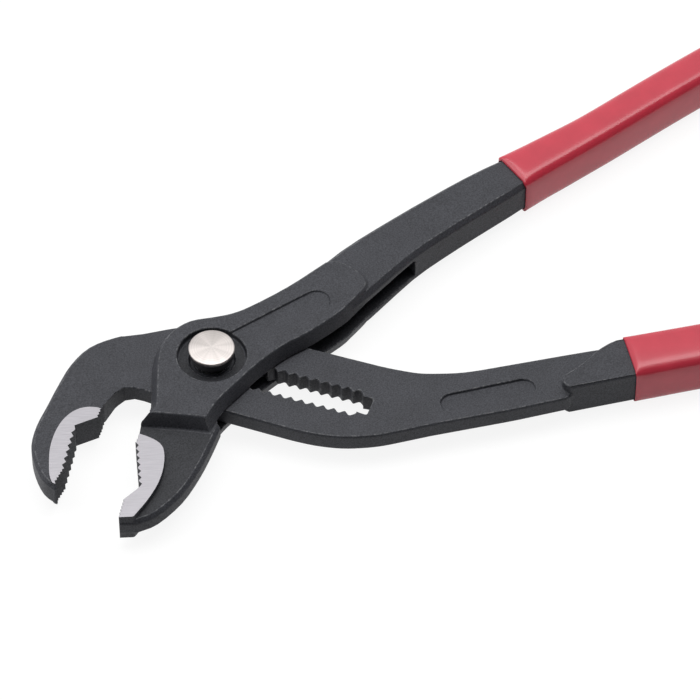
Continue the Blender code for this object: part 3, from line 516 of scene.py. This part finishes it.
def round_edges(piece, wanted, radius, steps, rubbed=False):
    """Bevels the edges that the test wants. The new faces may be marked as rubbed bright."""
    mesh = edit(piece)
    if pick(piece, mesh, [e for e in mesh.edges if len(e.link_faces) == 2 and wanted(e)]):
        bpy.ops.mesh.bevel(offset_type="OFFSET", offset=radius, segments=steps, profile=0.5,
                           affect="EDGES", clamp_overlap=False, miter_outer="SHARP")
        if rubbed:
            mesh = bmesh.from_edit_mesh(piece.data)
            mark = mesh.faces.layers.float["rubbed"]
            for face in mesh.faces:
                if face.select:
                    face[mark] = 1.0
            bmesh.update_edit_mesh(piece.data)
    done(piece)


def merge_short(piece, in_mouth, shortest):
    """Joins points that lie closer than this, away from the jaw teeth, so that roundings don't overlap."""
    mesh = edit(piece)
    mesh.faces.layers.float.new("rubbed")
    bpy.ops.mesh.select_mode(type="VERT")
    pick(piece, mesh, [v for v in mesh.verts if not in_mouth(v.co)])
    bpy.ops.mesh.remove_doubles(threshold=shortest)
    bpy.ops.mesh.select_mode(type="EDGE")
    done(piece)


def stands_out(edge):
    """Whether an edge of a turned piece is a sharp outer one."""
    return fold(edge) > math.radians(60.0)


def middle(edge):
    return (edge.verts[0].co + edge.verts[1].co) / 2


def in_box_mouth(place):
    return place.x < TEETH_X or (place.x < THROAT_X and place.y > THROAT_Y)


def in_rack_mouth(place):
    return place.x < TEETH_X


def off_middle(place, rise):
    """Whether a place beyond the jaws' line lies this far in front of the joint's middle, or behind it."""
    return place.x < JAWS_X and abs(abs(place.z - MIDDLE_Z) - rise) < LEVEL_SLACK


def on_land(place):
    """The jaws' ground flats beside the teeth, front and back."""
    return off_middle(place, LAND_RISE)


def on_seat(place):
    """The milled step beside the lower jaw's flats and the turned recess round the button."""
    recess = math.hypot(place.x, place.y) < RECESS_RADIUS and abs(place.z - RECESS_Z) < LEVEL_SLACK
    return recess or off_middle(place, STEP_RISE)


def refinish(piece, material, wanted):
    """Gives the level faces that the test wants a finish of their own."""
    piece.data.materials.append(bpy.data.materials[material])
    mesh = edit(piece)
    faces = [f for f in mesh.faces if abs(f.normal.z) > LEVEL_FACE and wanted(f.calc_center_median())]
    if not faces:
        raise RuntimeError(f"{piece.name} has no level face for {material}")
    for face in faces:
        face.material_index = len(piece.data.materials) - 1
    bmesh.update_edit_mesh(piece.data)
    done(piece)


def soften(piece, settings, in_mouth, shortest):
    """Rounds a forging's edges and fills its inner corners, and leaves the jaw teeth crisp."""
    # From the first fold to the second an edge is a chamfer's, and from there to the third it is square.
    least, square, most = (math.radians(angle) for angle in (35.0, 65.0, 125.0))

    def on_chamfer(edge):
        return least < fold(edge) < square and beside_level(edge)

    def under_chamfer(edge):
        return least < fold(edge) < square and not beside_level(edge)

    def on_square(edge):
        return square < fold(edge) < most and not in_mouth(middle(edge))

    def in_corner(edge):
        return -most < fold(edge) < -least and not in_mouth(middle(edge))

    merge_short(piece, in_mouth, shortest)
    round_edges(piece, in_corner, settings.fillet_radius, steps=3)
    round_edges(piece, on_square, settings.edge_radius, steps=3, rubbed=True)
    round_edges(piece, on_chamfer, settings.edge_radius / 2, steps=2, rubbed=True)
    round_edges(piece, under_chamfer, settings.edge_radius, steps=3)


class PLIERS_OT_box_arm(bpy.types.Operator):
    """Rounds and finishes the arm that carries the upper handle and the lower jaw"""

    bl_idname = "pliers.box_arm"
    bl_label = "Box Arm"

    def execute(self, context):
        settings = context.scene.pliers_forgings
        piece = merged_copy("box_arm", "box_arm_forging")
        soften(piece, settings, in_box_mouth, BOX_SHORTEST)
        smooth(piece)
        dress(piece, "box_arm", "box_arm", "phosphated_steel")
        refinish(piece, GROUND_FINISH, on_land)
        # Painted shade: the step and the recess get the darker seat coat, which also stands in for the shade
        # that falls there.
        refinish(piece, SEAT_COAT_AND_SHADE, on_seat)
        return {"FINISHED"}


class PLIERS_OT_rack_arm(bpy.types.Operator):
    """Rounds and finishes the arm that carries the lower handle and the hooked jaw"""

    bl_idname = "pliers.rack_arm"
    bl_label = "Rack Arm"

    def execute(self, context):
        settings = context.scene.pliers_forgings
        piece = merged_copy("rack_arm", "rack_arm_forging")
        soften(piece, settings, in_rack_mouth, RACK_SHORTEST)
        smooth(piece)
        dress(piece, "rack_arm", "rack_arm", "phosphated_steel")
        refinish(piece, GROUND_FINISH, on_land)
        return {"FINISHED"}


def vinyl_sleeve(node, name, body, levels):
    """A grip with its skin subdivided, and its bore kept as it is. The skin's faces look into the open, and
    the bore's faces look at each other."""
    piece = merged_copy(node, name, flat=0.0)
    mesh = edit(piece)
    tree = BVHTree.FromBMesh(mesh)
    lift = 0.01 * MM
    across = 15 * MM
    bore = []
    for face in mesh.faces:
        start = face.calc_center_median() + face.normal * lift
        if tree.ray_cast(start, face.normal, across)[0] is not None:
            bore.append(face)
    crease = mesh.edges.layers.float.new("crease_edge")
    for face in bore:
        for edge in face.edges:
            edge[crease] = 1.0
    inner = set(bore)
    pick(piece, mesh, [face for face in mesh.faces if face not in inner])
    limit = math.radians(50.0)
    bpy.ops.mesh.tris_convert_to_quads(face_threshold=limit, shape_threshold=limit)
    done(piece)
    finer = piece.modifiers.new("skin", "SUBSURF")
    finer.levels = finer.render_levels = levels
    bpy.ops.object.modifier_apply(modifier=finer.name)
    smooth(piece, angle=40.0, flats=False)
    dress(piece, node, body, "dipped_vinyl")


class PLIERS_OT_grips(bpy.types.Operator):
    """Smooths the two dipped grips"""

    bl_idname = "pliers.grips"
    bl_label = "Dipped Grips"

    def execute(self, context):
        levels = context.scene.pliers_grips.smoothing
        vinyl_sleeve("box_arm_grip", "upper_grip_sleeve", "box_arm", levels)
        vinyl_sleeve("rack_arm_grip", "lower_grip_sleeve", "rack_arm", levels)
        return {"FINISHED"}


class PLIERS_OT_button(bpy.types.Operator):
    """Turns the push button's domed cap and the black cup under it"""

    bl_idname = "pliers.button"
    bl_label = "Push Button"

    def execute(self, context):
        settings = context.scene.pliers_button
        low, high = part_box("button_cap")
        deselect()
        crown = 0.2 * MM
        side = high.z - low.z - crown
        bpy.ops.mesh.primitive_cylinder_add(vertices=128, radius=high.x, depth=side,
                                            location=(0.0, 0.0, low.z + side / 2))
        bpy.ops.object.transform_apply(location=True)
        cap = context.object
        cap.name = cap.data.name = "button_dome"
        mesh = edit(cap)
        upper = [v.co.z > low.z + side / 2 for v in mesh.verts]
        pick(cap, mesh, [e for e in mesh.edges if all(upper[v.index] for v in e.verts)])
        bpy.ops.mesh.bevel(offset=settings.rim_radius, segments=5, profile=0.5, affect="EDGES")
        mesh = bmesh.from_edit_mesh(cap.data)
        pick(cap, mesh, [face for face in mesh.faces if face.normal.z > LEVEL_FACE])
        # The dome is a parabola, so a ring rises by the difference of two squares. The last one stops
        # short and leaves a small flat.
        rings = 7
        width = (high.x - settings.rim_radius) / rings
        step = crown / rings ** 2
        for ring in range(rings, 1, -1):
            bpy.ops.mesh.inset(thickness=width)
            bpy.ops.transform.translate(value=(0.0, 0.0, step * (ring ** 2 - (ring - 1) ** 2)))
        bpy.ops.mesh.inset(thickness=width * 0.6)
        bpy.ops.transform.translate(value=(0.0, 0.0, step * 0.9))
        done(cap)
        smooth(cap, angle=40.0)
        dress(cap, "button_cap", "joint_bolt", "turned_steel")

        collar = merged_copy("button_collar", "button_cup")
        round_edges(collar, stands_out, radius=0.08 * MM, steps=2)
        smooth(collar)
        dress(collar, "button_collar", "joint_bolt", "blacked_steel")
        return {"FINISHED"}


class PLIERS_OT_bolt(bpy.types.Operator):
    """Finishes the bolt and its washer, and winds the spring"""

    bl_idname = "pliers.bolt"
    bl_label = "Bolt and Spring"

    def execute(self, context):
        settings = context.scene.pliers_button
        bolt = merged_copy("joint_bolt", "joint_bolt_pin")
        round_edges(bolt, stands_out, radius=0.1 * MM, steps=2)
        smooth(bolt)
        dress(bolt, "joint_bolt", "joint_bolt", "spring_steel")

        washer = merged_copy("spring_washer", "spring_seat_washer")
        round_edges(washer, stands_out, radius=0.05 * MM, steps=2)
        smooth(washer)
        dress(washer, "spring_washer", "pivot_seat", "spring_steel")

        low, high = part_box("bolt_spring")
        thin = settings.wire / 2
        widest = max(high.x, high.y, -low.x, -low.y) - thin
        narrowest = 2.6 * MM
        steps = 36
        count = round(settings.coils * steps)
        # It starts on the slot's long axis, as its solid does.
        slide = joint("slot_adjust")["axis"]
        start = math.atan2(-slide[1], -slide[0])
        line = bpy.data.curves.new("button_coil", "CURVE")
        line.dimensions = "3D"
        line.bevel_depth = thin
        line.bevel_resolution = 3
        line.use_fill_caps = True
        spline = line.splines.new("POLY")
        spline.points.add(count)
        for i, point in enumerate(spline.points):
            turn = 2 * math.pi * i / steps + start
            out = widest + (narrowest - widest) * i / count
            height = low.z + thin + (high.z - low.z - 2 * thin) * i / count
            point.co = (out * math.cos(turn), out * math.sin(turn), height, 1.0)
        coil = bpy.data.objects.new("button_coil", line)
        context.scene.collection.objects.link(coil)
        deselect()
        coil.select_set(True)
        context.view_layer.objects.active = coil
        bpy.ops.object.convert(target="MESH")
        coil = context.object
        coil.data.name = "button_coil"
        edit(coil)
        bpy.ops.mesh.select_all(action="SELECT")
        bpy.ops.mesh.remove_doubles(threshold=0.01 * MM)
        done(coil)
        smooth(coil)
        dress(coil, "bolt_spring", "pivot_seat", "spring_steel")
        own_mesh(coil)
        return {"FINISHED"}


class PLIERS_OT_finishes(bpy.types.Operator):
    """Makes the materials and gives them to the CAD nodes that keep their shape"""

    bl_idname = "pliers.finishes"
    bl_label = "Finishes"

    def execute(self, context):
        forging = context.scene.pliers_forgings
        button = context.scene.pliers_button
        phosphated_steel(FINISHES["phosphated_steel"], forging.steel, forging.worn)
        dipped_vinyl(FINISHES["dipped_vinyl"], context.scene.pliers_grips.vinyl)
        # Both turned finishes carry a painted reflection: lighter and darker rays in their colour round the
        # axis.
        turned_steel(FINISHES["turned_steel"], button.cap, roughness=0.4)
        blacked_steel(FINISHES["blacked_steel"], button.collar)
        turned_steel(FINISHES["spring_steel"], button.bolt, roughness=0.35)
        ground_steel(GROUND_FINISH, forging.ground)
        # The seats' material: a darker coat, partly the milled faces' own and partly painted shade.
        phosphated_steel(SEAT_COAT_AND_SHADE, forging.seat_coat_and_shade, forging.worn)
        for part in frame["record"]["subparts"]:
            node = frame["nodes"][part["node"]]
            node.data.materials.clear()
            node.data.materials.append(bpy.data.materials[FINISHES[part["material_slot"]]])
        return {"FINISHED"}


class PLIERS_OT_stage(bpy.types.Operator):
    """Sets up the camera, the lamps, the background, the floor and the black card"""

    bl_idname = "pliers.stage"
    bl_label = "Stage"

    def execute(self, context):
        scene = context.scene
        settings = scene.pliers_stage
        around = Matrix.Rotation(settings.turn, 4, "Z")
        scene.view_settings.view_transform = "Standard"
        self.camera(scene, settings, around)
        # A lamp's way from the aim has X to the camera's right.
        key, side = around @ Vector((0.0, 0.22, 0.79)), around @ Vector((-0.7, 0.0, 0.5))
        self.lamp(scene, "key", settings.key_power, width=1.1, height=0.42, way=key)
        self.lamp(scene, "side", settings.side_power, width=0.5, height=0.5, way=side)
        self.background(scene, settings)
        self.floor(context, settings)
        self.card(context, settings, around)
        return {"FINISHED"}

    @staticmethod
    def camera(scene, settings, around):
        lens = bpy.data.cameras.new("camera")
        lens.sensor_width = 36.0
        lens.lens = settings.lens
        lens.clip_end = 10.0
        camera = bpy.data.objects.new("camera", lens)
        scene.collection.objects.link(camera)
        tilt = Matrix.Rotation(math.pi / 2 - settings.elevation, 4, "X")
        back = Vector((0, -math.cos(settings.elevation), math.sin(settings.elevation))) * settings.distance
        camera.matrix_world = Matrix.Translation(settings.aim) @ around @ Matrix.Translation(back) @ tilt
        scene.camera = camera

    @staticmethod
    def lamp(scene, name, power, width, height, way):
        """A soft rectangular lamp that looks back at the aim."""
        data = bpy.data.lights.new(name, "AREA")
        data.shape = "RECTANGLE"
        data.size = width
        data.size_y = height
        data.energy = power
        made = bpy.data.objects.new(name, data)
        scene.collection.objects.link(made)
        made.location = Vector(scene.pliers_stage.aim) + way
        made.rotation_mode = "QUATERNION"
        made.rotation_quaternion = way.to_track_quat("Z", "Y")

    def background(self, scene, settings):
        world = bpy.data.worlds.new("studio")
        scene.world = world
        world.use_nodes = True
        tree = world.node_tree
        sky = tree.nodes["Background"]
        sky.inputs["Color"].default_value = (1.0, 1.0, 1.0, 1.0)
        level = add_node(tree, "ShaderNodeMix", {2: settings.sky, 3: 1.0}, [(0, self.seen(tree))])
        tree.links.new(level.outputs[0], sky.inputs["Strength"])

    def floor(self, context, settings):
        """Pale paper a hair below the tool. Where it is seen it is white, and keeps a faint shadow."""
        deselect()
        bpy.ops.mesh.primitive_plane_add(size=12.0, location=(0.0, 0.0, -0.02 * MM))
        floor = context.object
        floor.name = "floor"
        bpy.ops.object.transform_apply(location=True)
        sockets = {"Base Color": opaque(settings.floor), "Roughness": 0.9}
        material, tree, shader = new_material("floor_paper", sockets)
        bright = add_node(tree, "ShaderNodeEmission", {"Strength": 0.89})
        paper = add_node(tree, "ShaderNodeBsdfDiffuse", {"Color": (0.16, 0.16, 0.16, 1.0)})
        both = add_node(tree, "ShaderNodeAddShader", {}, [(0, bright.outputs[0]), (1, paper.outputs[0])])
        shown = add_node(tree, "ShaderNodeMixShader", {},
                         [(0, self.seen(tree)), (1, shader.outputs[0]), (2, both.outputs[0])])
        tree.links.new(shown.outputs[0], tree.nodes["Material Output"].inputs["Surface"])
        floor.data.materials.append(material)

    @staticmethod
    def card(context, settings, around):
        """A round black card in front, out of the camera's sight."""
        centre = Vector((settings.aim[0], settings.aim[1], settings.card_height / 2))
        deselect()
        bpy.ops.mesh.primitive_cylinder_add(vertices=72, radius=settings.card_distance,
                                            depth=settings.card_height, end_fill_type="NOTHING",
                                            location=centre)
        card = context.object
        card.name = "black_card"
        bpy.ops.object.transform_apply(location=True)
        mesh = edit(card)
        middle_way = around @ Matrix.Rotation(settings.card_turn, 4, "Z") @ Vector((0.0, -1.0, 0.0))
        limit = math.cos(settings.card_spread / 2)
        pick(card, mesh, [
            face for face in mesh.faces
            if (face.calc_center_median() - centre).normalized().dot(middle_way) < limit
        ])
        bpy.ops.mesh.delete(type="FACE")
        done(card)
        card.visible_camera = False
        sockets = {"Base Color": (0.01, 0.01, 0.01, 1.0), "Roughness": 1.0, "Specular IOR Level": 0.0}
        card.data.materials.append(new_material("black_felt", sockets)[0])

    @staticmethod
    def seen(tree):
        """1 for a ray that shows the background: to the camera, in a mirror or through glass."""
        rays = add_node(tree, "ShaderNodeLightPath", {})
        first = add_node(tree, "ShaderNodeMath", {"operation": "MAXIMUM"},
                         [(0, rays.outputs["Is Camera Ray"]), (1, rays.outputs["Is Glossy Ray"])])
        both = add_node(tree, "ShaderNodeMath", {"operation": "MAXIMUM"},
                        [(0, first.outputs[0]), (1, rays.outputs["Is Transmission Ray"])])
        return both.outputs[0]


GROUPS = (
    ("pliers_forgings", ForgingSettings, "Forgings"),
    ("pliers_grips", GripSettings, "Grips"),
    ("pliers_button", ButtonSettings, "Push Button"),
    ("pliers_stage", StageSettings, "Stage"),
)
STEPS = (
    PLIERS_OT_finishes, PLIERS_OT_box_arm, PLIERS_OT_rack_arm, PLIERS_OT_grips, PLIERS_OT_button,
    PLIERS_OT_bolt, PLIERS_OT_stage,
)


class PLIERS_PT_panel(bpy.types.Panel):
    """The sizes, colours and steps of the pliers"""

    bl_idname = "PLIERS_PT_panel"
    bl_label = "Pliers"
    bl_space_type = "VIEW_3D"
    bl_region_type = "UI"
    bl_category = "Pliers"

    def draw(self, context):
        for name, group, title in GROUPS:
            box = self.layout.box()
            box.label(text=title)
            for key in group.__annotations__:
                box.prop(getattr(context.scene, name), key)
        for step in STEPS:
            self.layout.operator(step.bl_idname)


def register():
    for name, group, _ in GROUPS:
        bpy.utils.register_class(group)
        setattr(bpy.types.Scene, name, bpy.props.PointerProperty(type=group))
    for step in STEPS:
        bpy.utils.register_class(step)
    bpy.utils.register_class(PLIERS_PT_panel)


def unregister():
    bpy.utils.unregister_class(PLIERS_PT_panel)
    for step in reversed(STEPS):
        bpy.utils.unregister_class(step)
    for name, group, _ in reversed(GROUPS):
        delattr(bpy.types.Scene, name)
        bpy.utils.unregister_class(group)


def main():
    register()
    bpy.ops.pliers.finishes()
    bpy.ops.pliers.box_arm()
    bpy.ops.pliers.rack_arm()
    bpy.ops.pliers.grips()
    bpy.ops.pliers.button()
    bpy.ops.pliers.bolt()
    bpy.ops.pliers.stage()


if __name__ == "__main__":
    main()
